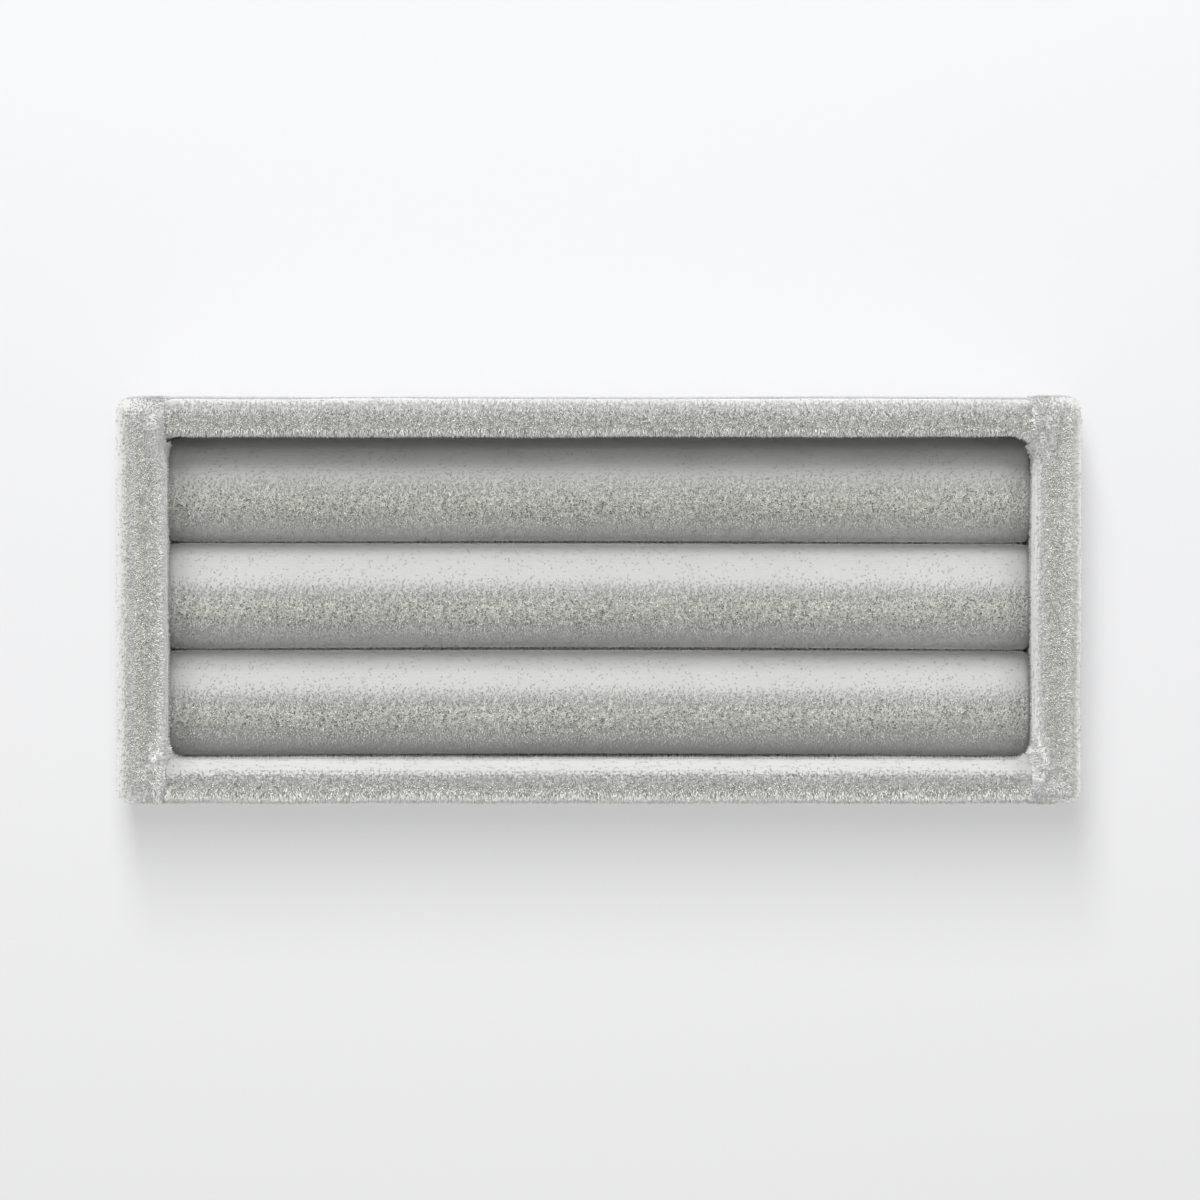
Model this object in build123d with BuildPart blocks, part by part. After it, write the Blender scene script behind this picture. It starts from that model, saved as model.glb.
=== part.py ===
from build123d import *
from math import asin, cos, degrees, radians, sin
import os

# Ring tray: a boarded frame wrapped in velvet, with a lift-out insert of three foam ring rolls.
# X runs along the rolls, +Y is the back of the tray, +Z is up, in millimetres.
# The origin is at the middle of the underside.

# Tray, outside over the velvet
tray_length = 200.0
tray_depth = 84.0
tray_height = 30.0

# Boards
long_board = 5.0
end_board = 6.5
base_board_thickness = 3.4
board_ease = 1.6

# Velvet with its pile, over the boards
velvet = 1.8
corner_round = 3.6
well_corner = 3.4
bottom_fold = 1.2

# Sheets
underside_thickness = 0.6
underside_margin = 3.0
underside_corner = 2.0
lining_thickness = 1.0

# Lift-out insert
insert_gap = 0.3
card_thickness = 1.5
roll_count = 3
crease_gap = 0.4
roll_drop = 8.0
roll_cover = 1.3
crown_radius_share = 1.171  # of the roll's half width
crown_half_angle = 40.0
draw_in_radius = 8.5
draw_in_height = 4.0

overrun = 5.0

# Levels, worked out from the sizes above
base_top = underside_thickness + base_board_thickness
turn_in_top = underside_thickness + velvet
board_top = tray_height - velvet
lining_top = base_top + lining_thickness
card_top = lining_top + card_thickness
roll_top = tray_height - roll_drop

# Plan sizes, worked out from the sizes above
long_rail = long_board + 2 * velvet
end_rail = end_board + 2 * velvet
well_length = tray_length - 2 * end_rail
well_depth = tray_depth - 2 * long_rail
frame_length = tray_length - 2 * velvet
frame_depth = tray_depth - 2 * velvet
hollow_length = frame_length - 2 * end_board
hollow_depth = frame_depth - 2 * long_board
rim_round = board_ease + velvet
insert_length = well_length - 2 * insert_gap
insert_depth = well_depth - 2 * insert_gap
insert_corner = well_corner - insert_gap
roll_width = (insert_depth - (roll_count - 1) * crease_gap) / roll_count
roll_pitch = roll_width + crease_gap
roll_height = roll_top - card_top


def top_edges(part, level):
    """The part's edges that lie at one level."""
    return part.edges().filter_by_position(Axis.Z, level, level)


# Wall boards: one frame, its top edges eased, cut into four boards. The end boards run the full
# depth and the long boards butt between them.
with BuildPart() as board_frame:
    with BuildSketch(Plane.XY.offset(base_top)):
        RectangleRounded(frame_length, frame_depth, corner_round - velvet)
        Rectangle(hollow_length, hollow_depth, mode=Mode.SUBTRACT)
    extrude(amount=board_top - base_top)
    chamfer(top_edges(board_frame, board_top), board_ease)

with BuildPart() as wall_board_left:
    add(board_frame.part)
    split(bisect_by=Plane.YZ.offset(-hollow_length / 2), keep=Keep.BOTTOM)

with BuildPart() as wall_board_right:
    add(board_frame.part)
    split(bisect_by=Plane.YZ.offset(hollow_length / 2), keep=Keep.TOP)

with BuildPart() as wall_board_back:
    add(board_frame.part)
    with BuildSketch(Plane.XY.offset(base_top)):
        with Locations((0, frame_depth / 2)):
            Rectangle(hollow_length, frame_depth)
    extrude(amount=board_top - base_top, mode=Mode.INTERSECT)

with BuildPart() as wall_board_front:
    add(board_frame.part)
    with BuildSketch(Plane.XY.offset(base_top)):
        with Locations((0, -frame_depth / 2)):
            Rectangle(hollow_length, frame_depth)
    extrude(amount=board_top - base_top, mode=Mode.INTERSECT)

# Base board: rebated round its underside, so that the turned-in velvet lies flush
with BuildPart() as base_board:
    with BuildSketch(Plane.XY.offset(turn_in_top)):
        RectangleRounded(frame_length, frame_depth, corner_round - velvet)
    extrude(amount=base_top - turn_in_top)
    with BuildSketch(Plane.XY.offset(underside_thickness)):
        RectangleRounded(well_length, well_depth, well_corner)
    extrude(amount=velvet)

# Velvet over the whole frame: outside face, rounded rim, inside face and turn-in. It is cut into
# the four wraps below.
with BuildPart() as velvet_skin:
    with BuildSketch(Plane.XY.offset(underside_thickness)):
        RectangleRounded(tray_length, tray_depth, corner_round)
        RectangleRounded(well_length, well_depth, well_corner, mode=Mode.SUBTRACT)
    extrude(amount=tray_height - underside_thickness)
    fillet(top_edges(velvet_skin, tray_height), rim_round)
    outer_fold = (
        top_edges(velvet_skin, underside_thickness)
        .filter_by(lambda edge: abs(edge.center().X) > well_length / 2
                   or abs(edge.center().Y) > well_depth / 2)
    )
    fillet(outer_fold, bottom_fold)
    add(board_frame.part, mode=Mode.SUBTRACT)
    add(base_board.part, mode=Mode.SUBTRACT)


def end_zone(side):
    """Plan outline of one end wrap: straight seams across the rim, mitred in the well's corners."""
    seam = well_length / 2
    edge = tray_depth / 2 + overrun
    mitre = well_corner + overrun
    with BuildSketch() as zone:
        with BuildLine():
            Polyline(
                (side * (tray_length / 2 + overrun), edge),
                (side * seam, edge),
                (side * seam, well_depth / 2),
                (side * (seam - mitre), well_depth / 2 - mitre),
                (side * (seam - mitre), mitre - well_depth / 2),
                (side * seam, -well_depth / 2),
                (side * seam, -edge),
                (side * (tray_length / 2 + overrun), -edge),
                close=True,
            )
        make_face()
    return zone.sketch


left_zone = end_zone(-1)
right_zone = end_zone(1)

with BuildPart() as end_wrap_left:
    add(velvet_skin.part)
    extrude(left_zone, amount=tray_height + overrun, mode=Mode.INTERSECT)

with BuildPart() as end_wrap_right:
    add(velvet_skin.part)
    extrude(right_zone, amount=tray_height + overrun, mode=Mode.INTERSECT)

with BuildPart() as long_wraps:
    add(velvet_skin.part)
    extrude(left_zone, amount=tray_height + overrun, mode=Mode.SUBTRACT)
    extrude(right_zone, amount=tray_height + overrun, mode=Mode.SUBTRACT)

with BuildPart() as rim_wrap_back:
    add(long_wraps.part)
    split(bisect_by=Plane.XZ, keep=Keep.BOTTOM)

with BuildPart() as rim_wrap_front:
    add(long_wraps.part)
    split(bisect_by=Plane.XZ, keep=Keep.TOP)

# Lining on the floor of the well
with BuildPart() as floor_lining:
    with BuildSketch(Plane.XY.offset(base_top)):
        RectangleRounded(well_length, well_depth, well_corner)
    extrude(amount=lining_thickness)

# Flocked sheet under the tray, which covers the turn-ins' edges
with BuildPart() as underside_sheet:
    with BuildSketch():
        RectangleRounded(
            tray_length - 2 * underside_margin,
            tray_depth - 2 * underside_margin,
            underside_corner,
        )
    extrude(amount=underside_thickness)

# Card that carries the rolls
with BuildPart() as insert_card:
    with BuildSketch(Plane.XY.offset(lining_top)):
        RectangleRounded(insert_length, insert_depth, insert_corner)
    extrude(amount=card_thickness)


def roll_form(place, inset):
    """A roll lying on the card, with its outline moved inwards by the inset.

    Half its section is drawn and mirrored: the side is drawn in towards the card by one arc,
    stands upright, and turns over the shoulder into a flatter crown.
    """
    half_width = roll_width / 2
    half_length = insert_length / 2 - inset
    crown_radius = crown_radius_share * half_width
    crown_turn = radians(crown_half_angle)
    shoulder = (half_width - crown_radius * sin(crown_turn)) / (1 - sin(crown_turn))
    side = half_width - inset
    side_top = roll_height - crown_radius + (crown_radius - shoulder) * cos(crown_turn)
    draw_in = draw_in_radius - inset
    draw_in_turn = degrees(asin(draw_in_height / draw_in))
    end_plane = Plane(origin=(-half_length, place, card_top), x_dir=(0, 1, 0), z_dir=(1, 0, 0))
    with BuildPart() as form:
        with BuildSketch(end_plane):
            with BuildLine():
                foot = JernArc((side, draw_in_height), (0, -1), draw_in, -draw_in_turn)
                upright = Line((side, draw_in_height), (side, side_top))
                bend = JernArc(upright @ 1, (0, 1), shoulder - inset, 90 - crown_half_angle)
                JernArc(bend @ 1, bend % 1, crown_radius - inset, crown_half_angle)
                Line(foot @ 1, (0, 0))
                Line((0, 0), (0, roll_height - inset))
            make_face()
            mirror(about=Plane.YZ)
        extrude(amount=2 * half_length)
    return form


roll_places = {
    "back": roll_pitch,
    "middle": 0.0,
    "front": -roll_pitch,
}
rolls = {}
for name, place in roll_places.items():
    # Foam core: cut square at its ends, and fills its cover
    foam_core = roll_form(place, roll_cover)

    # Cover: velvet over the crown, both sides and both tucked, rounded ends. It is open where
    # it is glued to the card.
    with BuildPart() as cover:
        add(roll_form(place, 0).part)
        end_edges = cover.faces().filter_by(Axis.X).edges()
        on_card = end_edges.filter_by_position(Axis.Z, card_top, card_top)
        fillet(end_edges - on_card, insert_corner)
        add(foam_core.part, mode=Mode.SUBTRACT)

    rolls["foam_core_" + name] = foam_core
    rolls["roll_cover_" + name] = cover

nodes = {
    "base_board": base_board,
    "wall_board_left": wall_board_left,
    "wall_board_right": wall_board_right,
    "wall_board_back": wall_board_back,
    "wall_board_front": wall_board_front,
    "end_wrap_left": end_wrap_left,
    "end_wrap_right": end_wrap_right,
    "rim_wrap_back": rim_wrap_back,
    "rim_wrap_front": rim_wrap_front,
    "floor_lining": floor_lining,
    "underside_sheet": underside_sheet,
    "insert_card": insert_card,
    **rolls,
}

os.makedirs("parts", exist_ok=True)
for name, node in nodes.items():
    node.part.label = name
    export_step(node.part, "parts/" + name + ".step")
    print(name, len(node.part.solids()), round(node.part.volume, 1))
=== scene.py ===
import math
from types import SimpleNamespace

import bmesh
import bpy
import numpy as np
from bpy.props import FloatProperty, FloatVectorProperty, IntProperty, PointerProperty
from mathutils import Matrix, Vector, noise


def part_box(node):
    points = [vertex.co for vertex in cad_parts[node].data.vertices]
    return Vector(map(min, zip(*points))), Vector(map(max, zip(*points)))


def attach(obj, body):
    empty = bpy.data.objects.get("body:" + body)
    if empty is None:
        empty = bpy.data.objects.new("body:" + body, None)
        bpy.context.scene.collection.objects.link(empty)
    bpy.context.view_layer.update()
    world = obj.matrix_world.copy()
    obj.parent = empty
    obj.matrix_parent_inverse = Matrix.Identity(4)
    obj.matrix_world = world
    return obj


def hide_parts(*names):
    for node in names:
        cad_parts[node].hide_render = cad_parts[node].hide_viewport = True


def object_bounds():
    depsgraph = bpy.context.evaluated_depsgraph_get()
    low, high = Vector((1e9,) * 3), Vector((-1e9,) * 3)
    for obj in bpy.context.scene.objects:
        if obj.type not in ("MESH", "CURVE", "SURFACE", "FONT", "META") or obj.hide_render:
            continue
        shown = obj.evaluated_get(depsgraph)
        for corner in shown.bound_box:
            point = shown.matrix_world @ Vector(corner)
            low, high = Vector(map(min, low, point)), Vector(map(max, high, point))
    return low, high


bl_info = {
    "name": "Velvet Ring Tray",
    "version": (1, 0, 0),
    "blender": (4, 5, 0),
    "location": "View3D > Sidebar > Ring Tray",
    "description": "Dresses a ring tray in plush velvet, with three ring rolls on a lift-out card",
    "category": "Object",
}

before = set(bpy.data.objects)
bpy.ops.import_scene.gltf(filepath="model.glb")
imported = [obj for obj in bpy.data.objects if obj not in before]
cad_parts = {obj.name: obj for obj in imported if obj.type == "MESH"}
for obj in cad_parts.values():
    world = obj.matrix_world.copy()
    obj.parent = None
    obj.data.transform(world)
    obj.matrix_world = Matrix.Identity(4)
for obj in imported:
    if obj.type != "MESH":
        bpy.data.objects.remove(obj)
CAD_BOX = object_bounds()

MM = 0.001
BAKE_MAP = "OFBake"

# Places read from the frame, in metres
HALF_LENGTH, HALF_DEPTH, RIM_TOP = CAD_BOX[1]
WELL_LOW, WELL_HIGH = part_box("floor_lining")
WELL_HALF_LENGTH, WELL_HALF_DEPTH, WELL_FLOOR = WELL_HIGH
RAILS = {"long": HALF_DEPTH - WELL_HALF_DEPTH, "end": HALF_LENGTH - WELL_HALF_LENGTH}
SKIN_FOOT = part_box("rim_wrap_back")[0].z
CARD_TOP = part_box("insert_card")[1].z
ROLL_NAMES = ("back", "middle", "front")
ROLL_BOXES = {name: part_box("roll_cover_" + name) for name in ROLL_NAMES}

# Velvet over the boards: the cloth lies under the pile, inside the wrap's solid
CLOTH_THICKNESS = 0.5 * MM
RIM_DEPTH = 0.9 * MM
OUTER_DEPTHS = {"back": 0.9 * MM, "front": 0.7 * MM, "left": 0.75 * MM, "right": 0.6 * MM}
# How far the cloth lies behind the face of the well on each side
INNER_DEPTHS = {"back": 1.4 * MM, "front": 0.2 * MM, "left": 0.1 * MM, "right": 0.5 * MM}
OUTER_CORNER = 2.6 * MM
# The rim is crowned: its outer and inner rounds take up nearly the whole width of the rail
ROUND_SHARES = {
    "back": (0.62, 0.30), "front": (0.34, 0.60), "left": (0.62, 0.34), "right": (0.50, 0.46)}
OUTER_DROP = 4.4 * MM
INNER_DROP = 4.0 * MM
FOLD_RADIUS = 1.0 * MM
TURN_IN = 9.0 * MM
TURN_IN_LIFT = 0.8 * MM
INNER_FOOT_LIFT = 0.6 * MM
SHARPEST_CORNER = 0.4 * MM
WELL_CORNER = 3.4 * MM
UNDERSIDE_CORNER = 2 * MM
CORNER_FADE = 8.0 * MM
# How round the pile leaves each corner of the opening at the rim
OPENING_CORNERS = {
    ("left", "back"): 2.2 * MM,
    ("right", "back"): 5.2 * MM,
    ("left", "front"): 3.4 * MM,
    ("right", "front"): 4.6 * MM,
}
SIGNS = {"left": -1, "right": 1, "back": 1, "front": -1}

# The pile stands open along each rim and is brushed flat towards its edges: where it begins to
# open and is fully open, from the outer and from the inner edge, how open it is, how much light
# is painted on the pile of that rail, and how much painted sheen is added where it is brushed flat
OPEN_BANDS = {
    "back": ((0.9 * MM, 3.0 * MM), (-0.4 * MM, 0.4 * MM), 0.95, 0.8, 0.7),
    "front": ((0.3 * MM, 2.0 * MM), (1.4 * MM, 5.4 * MM), 1.0, 1.4, -0.2),
    "left": ((1.0 * MM, 5.4 * MM), (0.0, 1.6 * MM), 0.85, 1.3, 0.4),
    "right": ((0.6 * MM, 3.2 * MM), (0.9 * MM, 3.8 * MM), 0.8, 1.5, 0.3),
}
OPEN_WALLS = 0.35
# Brushed pile is drawn as a smooth layer on the cloth, with few tufts that stand out of it
RIM_LAYER = 0.7 * MM
ROLL_LAYER = 0.5 * MM
STRAY_SHARE = 0.03
# Each pair below holds the two ends of a fade
# Levels at which the pile lies brushed, on the outer walls and in the well, and has the rim's
# painted light
WALL_BRUSHED = (RIM_TOP - 18 * MM, RIM_TOP - 7 * MM)
WELL_BRUSHED = (RIM_TOP - 7 * MM, RIM_TOP - 3 * MM)
RIM_PAINTED_LEVELS = (RIM_TOP - 9 * MM, RIM_TOP - 3 * MM)
# Slow unevenness of the brushed walls and of the cloth: height, width of its patches and seed
WALL_PATCHES = [(3.5 * MM, 15 * MM, 6)]
WAVES = [(0.22 * MM, 28 * MM, 3), (0.12 * MM, 9 * MM, 4)]
# Each seam dips, and the end wraps have a ridge of pile beside it
SEAM_WIDTH = 1.5 * MM
BACK_DIP = 0.3 * MM
END_DIP = 0.1 * MM
RIDGE_PLACE = 2.0 * MM
RIDGE_WIDTH = 1.4 * MM
FRONT_RIDGE = 0.3 * MM
BACK_RIDGE = 0.5 * MM
RIDGE_FACING = (0.4, 0.9)
# From a seam, how far a corner of the rim reaches and how far its pile leans over the seam
CORNER_BANDS = {"long": (4 * MM, 1 * MM), "end": (9 * MM, 3 * MM)}
LEAN_BAND = (1 * MM, 4 * MM)
# Round a front corner of the opening, where the pile lies flat and where light is painted on it
FLAT_FAN = (6.5 * MM, 2 * MM)
PAINTED_LIGHT_FAN = (6.5 * MM, 1 * MM)
# The painted highlight along the inner edge, and the front rail's ends, where its painted light is
# dimmed
INNER_HIGHLIGHT_BAND = (1.5 * MM, 0.3 * MM)
FRONT_END = (8 * MM, 0)
# Patches of brushed pile in the end wraps' corners, and the tufts of their fringe
PATCH_SIZE = 5 * MM
PATCH_FADE = (-0.35, 0.25)
FRINGE_SIZE = 3 * MM
FRINGE_FADE = (-0.4, 0.2)
# How steep the cloth is at an edge, and how far it faces the back or the front
EDGE_SLOPES = (0.55, 1.0)
FACING = (0.2, 0.8)
# How much paler the pile is painted along the edges, a painted sheen, and on the back wall below
# the rim, painted light
EDGE_PAINTED_SHEEN = {"long": 2.1, "end": 3.2}
BACK_EDGE_PAINTED_SHEEN = 0.7
FRONT_EDGE_PAINTED_LIGHT = 1.0
BACK_WALL_PAINTED_LIGHT = 1.3
PALEST_PAINTED_CORNER = 1.8
# Tufts to the square millimetre: on the rim, on the outer walls, and down in the well
RIM_DENSITY = 18.0
WALL_DENSITIES = {"long": 4.4, "end": 5.4}
FOOT_DENSITY = 2.0
WELL_DENSITY = 5.0
DEEP_DENSITY = 1.6
FOOT_LEVEL = SKIN_FOOT + 2.5 * MM
DEEP_LEVEL = RIM_TOP - 9 * MM
# Shares of the way up a wrap's rows, from its turned-in edge to its foot in the well
TURNED_IN_SHARE = 0.06
WELL_SHARE = 0.62

# The cloth's grid
CORNER_COLUMNS = 14
END_COLUMNS = 32
LONG_COLUMNS = 72
ARC_STEPS = 16
SHEET_COLUMNS = 121
SHEET_ROWS = 49

# Ring rolls
ROLL_PILE_DEPTH = 0.8 * MM
ROLL_CLOTH = 0.4 * MM
FOAM_GAP = 0.02 * MM
CROWN_RADIUS_SHARE = 1.171
CROWN_TURN = math.radians(40)
DRAW_IN_RADIUS = 8.5 * MM
DRAW_IN_HEIGHT = 4.0 * MM
ROLL_END_ROUND = 0.8 * MM
ROLL_END_GAP = 0.05 * MM
ROLL_RINGS = 72
ROLL_END_RINGS = 6
# The pile stands open along a band of the crown, a little to the front
CROWN_BAND_PLACE = -2.5 * MM
CROWN_BAND_WIDTH = 4.7 * MM
CROWN_BAND_OPEN = 1.4
CROWN_STANDING = (0.1, 0.9)
CROWN_SHARE = 0.45
CROWN_DENSITY = 14.0
FLANK_DENSITY = 1.2
ROLL_END_DENSITY = 4.0
FLANK_LAYER = 0.25 * MM
ROLL_COMB = 0.35
# How far a roll's skin faces its end, its side, the back and the front
END_FACING = (0.3, 0.8)
SIDE_FACING = (0.5, 0.9)
BACK_FACING = (0.0, 0.3)
FRONT_FACING = (0.1, 0.6)
# The share of a roll's height that its bake map turns round, and at which its pile is full
MAP_CENTRE = 0.35
ROLL_FOOT = (0.0, 0.3)
# How far from its crease each roll's pile is painted darker, painted shade in the crease, on its
# back and on its front flank
CREASE_SHADE_WIDTHS = {"back": 2.4 * MM, "middle": 2.4 * MM, "front": 4.4 * MM}
FRONT_CREASE_SHADE_WIDTH = 2.4 * MM
CREASE_SHADE_CORE = 0.4 * MM
# How dark the pile is painted on the flank of each roll that faces the front: painted shade
FRONT_SHADES = {"back": 1.0, "middle": 1.0, "front": 0.55}
# It is also painted darker under the back rim, a painted shadow of the rail, and at its ends,
# painted shade under the end rails
RIM_SHADOW = (1.5 * MM, 10.5 * MM)
END_SHADE = (0.0, 8 * MM)
# The darkest that the painted shade may make the pile
DARKEST_PAINTED_SHADING = -2.6

# Swelling the rolls: the cloth simulation is steadier on a larger model
SWELL_SCALE = 20.0
SWELL_STIFFNESS = 12.0
PINNED_HEIGHT = 1.2 * MM
PINNED_END = 0.5 * MM

# Colours of the backing cloth, pale and dark: its own colour, painted darker than the pile as shade
# deep between the tufts
BACKING_AND_SHADE = ((0.60, 0.603, 0.57), (0.30, 0.302, 0.27))

# Stage
FLOOR_REACH = 4.0
FLOOR_FADE = 0.36
SKY_SHOWN = 0.92
SOFTBOX_SIZE = (0.8, 0.8)
SOFTBOX_DISTANCE = 1.3
RIGHT_SHARE = 0.75
CAMERA_AIM = Vector((0.0003, 0.0004, RIM_TOP))

# The pile tree's inputs after its bed and before its seed, with their defaults
PILE_INPUTS = {
    "Tuft Length": 1.0 * MM,
    "Tuft Radius": 0.2 * MM,
    "Ruffle Size": 1.0 * MM,
    "Ruffle Lean": 1.0,
    "Patch Size": 3.0 * MM,
}


class VelvetSettings(bpy.types.PropertyGroup):
    """The pile of the velvet."""

    rim_length: FloatProperty(
        name="Rim Pile", description="Length of the pile on the wraps",
        default=1.05 * MM, unit="LENGTH", precision=5)
    roll_length: FloatProperty(
        name="Roll Pile", description="Length of the pile on the ring rolls",
        default=0.85 * MM, unit="LENGTH", precision=5)
    tuft_radius: FloatProperty(
        name="Tuft Radius", description="Half the width of a tuft at its foot",
        default=0.125 * MM, unit="LENGTH", precision=5)
    ruffle_size: FloatProperty(
        name="Ruffle Size", description="Width of the patches that lean one way",
        default=0.65 * MM, unit="LENGTH", precision=5)
    ruffle_lean: FloatProperty(
        name="Ruffle Lean",
        description="How far the patches of pile lean, as a share of its length",
        default=0.85, min=0.0, max=4.0)
    patch_size: FloatProperty(
        name="Patch Size", description="Width of the larger patches that have been stroked one way",
        default=2.6 * MM, unit="LENGTH", precision=5)
    tip_colour: FloatVectorProperty(
        name="Tip Colour", description="Colour of the pile at its tips",
        default=(0.94, 0.945, 0.92), subtype="COLOR", min=0.0, max=1.0)
    # The roots are painted darker: painted shade deep in the pile
    root_shade_colour: FloatVectorProperty(
        name="Root Colour", description="Colour of the pile at its roots",
        default=(0.46, 0.461, 0.42), subtype="COLOR", min=0.0, max=1.0)
    brushed_colour: FloatVectorProperty(
        name="Brushed Colour", description="Colour of the pile where it is brushed flat",
        default=(0.40, 0.40, 0.391), subtype="COLOR", min=0.0, max=1.0)
    seed: IntProperty(name="Seed", description="Seed of everything random in the pile", default=7)


class RollSettings(bpy.types.PropertyGroup):
    """The stuffed ring rolls."""

    pressure: FloatProperty(
        name="Pressure", description="How hard the foam pushes against its cover",
        default=4.0, min=0.0, max=50.0)
    swell_limit: FloatProperty(
        name="Swell Limit", description="The most that a point of a cover may move outwards",
        default=0.5 * MM, unit="LENGTH", precision=5)
    last_frame: IntProperty(
        name="Last Frame", description="Frames that the covers are given to swell", default=20)


class StageSettings(bpy.types.PropertyGroup):
    """Floor, lamps and camera."""

    camera_distance: FloatProperty(
        name="Camera Distance", description="From the rim to the camera",
        default=1.5, unit="LENGTH")
    camera_tilt: FloatProperty(
        name="Camera Tilt", description="How far the camera stands towards the back of the tray",
        default=math.radians(3.2), subtype="ANGLE")
    view_width: FloatProperty(
        name="View Width", description="Width of the picture at the height of the rim",
        default=248.4 * MM, unit="LENGTH", precision=5)
    top_power: FloatProperty(
        name="Top Power", description="Power of the softbox overhead", default=10.2)
    back_power: FloatProperty(
        name="Back Power", description="Power of the softbox behind the tray", default=13.6)
    left_power: FloatProperty(
        name="Left Power", description="Power of the left softbox, which the right one follows",
        default=6.4)
    front_power: FloatProperty(
        name="Front Power", description="Power of the softbox before the tray", default=4.0)
    sky_strength: FloatProperty(
        name="Sky Strength", description="Strength of the even light from all round", default=0.18)
    floor_power: FloatProperty(
        name="Floor Power", description="Power of the softbox that lights the floor", default=24.0)
    floor_glow: FloatProperty(
        name="Floor Glow", description="How far the floor glows to the camera",
        default=0.57, min=0.0, max=1.0)
    floor_back: FloatVectorProperty(
        name="Floor, Back", description="Colour of the floor behind the tray",
        default=(0.93, 0.935, 0.95), subtype="COLOR", min=0.0, max=1.0)
    # The floor is painted darker towards the front: a painted fall-off of the light
    floor_front_shade: FloatVectorProperty(
        name="Floor, Front", description="Colour of the floor before the tray",
        default=(0.835, 0.835, 0.84), subtype="COLOR", min=0.0, max=1.0)


def enabled_socket(sockets, name):
    """The socket of that name which the node's settings leave in use, or the one at that place."""
    if isinstance(name, int):
        return sockets[name]
    for socket in sockets:
        if socket.name == name and socket.enabled:
            return socket
    raise KeyError(f"no socket {name!r} among {[socket.name for socket in sockets]}")


class Wire:
    """A node's output that can be used in sums: an expression adds the Math nodes for it."""

    def __init__(self, nodes, socket):
        self.nodes = nodes
        self.socket = socket

    def maths(self, operation, first, second=0.0, clamp=False):
        settings = {"operation": operation, "use_clamp": clamp}
        return self.nodes.add("ShaderNodeMath", settings, {0: first, 1: second})

    def __add__(self, other):
        return self.maths("ADD", self, other)

    def __radd__(self, other):
        return self.maths("ADD", other, self)

    def __sub__(self, other):
        return self.maths("SUBTRACT", self, other)

    def __rsub__(self, other):
        return self.maths("SUBTRACT", other, self)

    def __mul__(self, other):
        return self.maths("MULTIPLY", self, other)

    def __rmul__(self, other):
        return self.maths("MULTIPLY", other, self)

    def __rtruediv__(self, other):
        return self.maths("DIVIDE", other, self)

    def __pow__(self, other):
        return self.maths("POWER", self, other)

    def clamped(self):
        return self.maths("ADD", self, 0.0, clamp=True)


class Nodes:
    """A node tree that is being built."""

    def __init__(self, tree):
        self.tree = tree

    def add(self, kind, settings=None, sockets=None, output=0):
        """Adds a node, with its settings first and then its sockets, and returns one output."""
        node = self.tree.nodes.new(kind)
        for name, value in (settings or {}).items():
            setattr(node, name, value)
        for name, value in (sockets or {}).items():
            socket = enabled_socket(node.inputs, name)
            if isinstance(value, Wire):
                self.tree.links.new(value.socket, socket)
            else:
                socket.default_value = value
        return Wire(self, enabled_socket(node.outputs, output)) if node.outputs else node

    def other(self, wire, name):
        """Another output of the node that a wire comes from."""
        return Wire(self, enabled_socket(wire.socket.node.outputs, name))

    def ramp(self, factor, stops):
        """Colours along a factor, from (place, colour) stops."""
        wire = self.add("ShaderNodeValToRGB", None, {"Fac": factor})
        elements = wire.socket.node.color_ramp.elements
        while len(elements) < len(stops):
            elements.new(0.5)
        for element, (place, colour) in zip(elements, stops):
            element.position = place
            element.color = (*colour, 1.0)
        return wire

    def mix(self, factor, first, second, blend="MIX"):
        """Two colours mixed by a factor."""
        return self.add(
            "ShaderNodeMix", {"data_type": "RGBA", "blend_type": blend, "clamp_result": False},
            {"Factor": factor, "A": rgba(first), "B": rgba(second)}, output="Result")

    def toned(self, colour, level):
        """A colour made lighter or darker by a level."""
        grey = self.add("ShaderNodeCombineColor", None, {0: level, 1: level, 2: level})
        return self.mix(1.0, colour, grey, "MULTIPLY")

    def noise(self, place, scale, detail=2.0, output="Fac"):
        return self.add(
            "ShaderNodeTexNoise", None,
            {"Vector": place, "Scale": scale, "Detail": detail}, output=output)

    def bump(self, strength, distance, height):
        return self.add(
            "ShaderNodeBump", None, {"Strength": strength, "Distance": distance, "Height": height})

    def attribute(self, name, output="Fac"):
        """A value that the mesh keeps, for a shader."""
        return self.add("ShaderNodeAttribute", {"attribute_name": name}, output=output)

    def vector(self, operation, first, second=(0.0, 0.0, 0.0)):
        return self.add(
            "ShaderNodeVectorMath", {"operation": operation}, {0: first, 1: second},
            output="Vector")

    def scaled(self, vector, factor):
        return self.add(
            "ShaderNodeVectorMath", {"operation": "SCALE"}, {"Vector": vector, "Scale": factor},
            output="Vector")


def rgba(colour):
    """A colour value with its alpha, or the wire that carries one."""
    return colour if isinstance(colour, Wire) else (*tuple(colour)[:3], 1.0)


def new_tree(owner):
    """The emptied node tree of a material or a world."""
    owner.use_nodes = True
    owner.node_tree.nodes.clear()
    return Nodes(owner.node_tree)


def new_material(name, build, **constants):
    """A material whose Principled shader has constant sockets and what build(nodes) links."""
    material = bpy.data.materials.new(name)
    nodes = new_tree(material)
    sockets = {socket.replace("_", " "): value for socket, value in constants.items()}
    sockets.update(build(nodes))
    shader = nodes.add("ShaderNodeBsdfPrincipled", None, sockets)
    nodes.add("ShaderNodeOutputMaterial", None, {"Surface": shader})
    return material


def object_place(nodes):
    return nodes.add("ShaderNodeTexCoord", output="Object")


def bloom_level(nodes):
    """How light the pile is painted, from the painted light and shade kept on its bed."""
    return 0.95 + 0.16 * nodes.attribute("bloom")


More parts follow.
